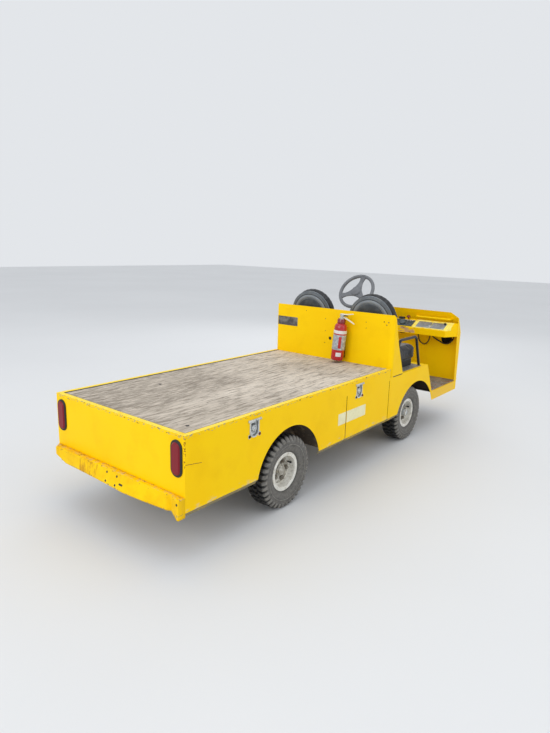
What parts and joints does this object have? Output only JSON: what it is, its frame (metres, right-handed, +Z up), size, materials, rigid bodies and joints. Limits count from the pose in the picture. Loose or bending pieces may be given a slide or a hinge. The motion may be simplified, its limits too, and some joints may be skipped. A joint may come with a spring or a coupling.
{
  "type": "electric utility vehicle",
  "caption": "Flatbed electric burden carrier with a plank deck, bulkhead, twin seats over the front axle, open footwell, folded nose and lugged road wheels.",
  "frame": {"origin": "on the ground under the middle of the overall length and width", "axes": "+X forward, +Y to the driver's side (left), +Z up"},
  "size_m": [3.55, 1.134, 1.3165],
  "materials": {
    "body_paint": "satin, worn",
    "frame_paint": "matt",
    "deck_wood": "weathered",
    "lens_red": "gloss",
    "black_rubber": "matt",
    "clear_lens": "clear",
    "bright_steel": "bright",
    "zinc_steel": "zinc plated",
    "panel_black": "matt",
    "seat_shell": "moulded",
    "seat_vinyl": "vinyl",
    "wheel_grip": "moulded",
    "bottle_red": "gloss",
    "rim_paint": "satin",
    "tyre_rubber": "dusty",
    "cast_metal": "cast",
    "battery_case": "moulded"
  },
  "bodies": {
    "body": {"main_frame": "frame_paint", "deck_rim": "body_paint", "deck_board": "deck_wood", "rear_panel": "body_paint", "rear_bumper": "body_paint", "front_bumper": "body_paint", "tail_light_housings": "black_rubber", "tail_light_lenses": "lens_red", "bulkhead": "body_paint", "seat_box": "body_paint", "footwell_floor": "body_paint", "front_cowl": "body_paint", "headlights": "bright_steel", "headlight_lenses": "clear_lens", "dash_panel": "body_paint", "instrument_panels": "panel_black", "grab_handle": "body_paint", "wire_clips": "panel_black", "wire_loop": "black_rubber", "wire_bundle": "black_rubber", "steering_column": "frame_paint", "pedals": "frame_paint", "hip_restraints": "frame_paint", "wheel_arch_liners": "body_paint", "tie_downs": "zinc_steel", "extinguisher_bottle": "bottle_red", "extinguisher_valve": "bright_steel", "front_axle": "cast_metal", "rear_axle": "cast_metal", "leaf_springs": "frame_paint", "battery_pack": "battery_case", "side_panel_left": "body_paint", "side_panel_right": "body_paint", "front_fender_left": "body_paint", "front_fender_right": "body_paint", "seat_shell_left": "seat_shell", "seat_shell_right": "seat_shell", "seat_back_left": "seat_vinyl", "seat_back_right": "seat_vinyl", "seat_cushion_left": "seat_vinyl", "seat_cushion_right": "seat_vinyl"},
    "knuckle_left": {"knuckle_left": "cast_metal"},
    "road_wheel_front_left": {"wheel_front_left": "rim_paint", "tyre_front_left": "tyre_rubber"},
    "road_wheel_rear_left": {"wheel_rear_left": "rim_paint", "tyre_rear_left": "tyre_rubber"},
    "knuckle_right": {"knuckle_right": "cast_metal"},
    "road_wheel_front_right": {"wheel_front_right": "rim_paint", "tyre_front_right": "tyre_rubber"},
    "road_wheel_rear_right": {"wheel_rear_right": "rim_paint", "tyre_rear_right": "tyre_rubber"},
    "tie_rod": {"tie_rod": "frame_paint"},
    "drag_link": {"drag_link": "frame_paint"},
    "pitman_arm": {"pitman_arm": "frame_paint"},
    "steering_wheel": {"steering_wheel": "wheel_grip"}
  },
  "joints": [
    {"name": "steer_left", "type": "hinge", "parent": "body", "child": "knuckle_left", "pos_m": [0.772, 0.35, 0.228], "axis": [0, 0, 1], "range_deg": [-30, 30]},
    {"name": "steer_right", "type": "hinge", "parent": "body", "child": "knuckle_right", "pos_m": [0.772, -0.35, 0.228], "axis": [0, 0, 1], "range_deg": [-30, 30]},
    {"name": "tie_rod_joint", "type": "hinge", "parent": "knuckle_left", "child": "tie_rod", "pos_m": [0.662, 0.35, 0.17], "axis": [0, 0, 1], "range_deg": [-30, 30]},
    {"name": "drag_link_joint", "type": "hinge", "parent": "knuckle_left", "child": "drag_link", "pos_m": [0.772, 0.22, 0.17], "axis": [0, 0, 1], "range_deg": [-30, 30]},
    {"name": "pitman_turn", "type": "hinge", "parent": "body", "child": "pitman_arm", "pos_m": [1.42, 0.35, 0.2], "axis": [0, 0, 1], "range_deg": [-30, 30]},
    {"name": "steering_wheel_turn", "type": "hinge", "parent": "body", "child": "steering_wheel", "pos_m": [1.199, 0.286, 1.163], "axis": [-0.8339, 0, 0.5519], "range_deg": [-360, 360]},
    {"name": "roll_front_left", "type": "hinge", "parent": "knuckle_left", "child": "road_wheel_front_left", "pos_m": [0.772, 0.4575, 0.228], "axis": [0, 1, 0], "continuous": true},
    {"name": "roll_front_right", "type": "hinge", "parent": "knuckle_right", "child": "road_wheel_front_right", "pos_m": [0.772, -0.4575, 0.228], "axis": [0, 1, 0], "continuous": true},
    {"name": "roll_rear_left", "type": "hinge", "parent": "body", "child": "road_wheel_rear_left", "pos_m": [-0.892, 0.4675, 0.228], "axis": [0, 1, 0], "continuous": true},
    {"name": "roll_rear_right", "type": "hinge", "parent": "body", "child": "road_wheel_rear_right", "pos_m": [-0.892, -0.4675, 0.228], "axis": [0, 1, 0], "continuous": true}
  ],
  "couplings": [
    {"joint": "steer_right", "follows": "steer_left", "ratio": 1},
    {"joint": "tie_rod_joint", "follows": "steer_left", "ratio": -1},
    {"joint": "drag_link_joint", "follows": "steer_left", "ratio": -1},
    {"joint": "pitman_turn", "follows": "steer_left", "ratio": 1},
    {"joint": "steering_wheel_turn", "follows": "steer_left", "ratio": 12}
  ]
}
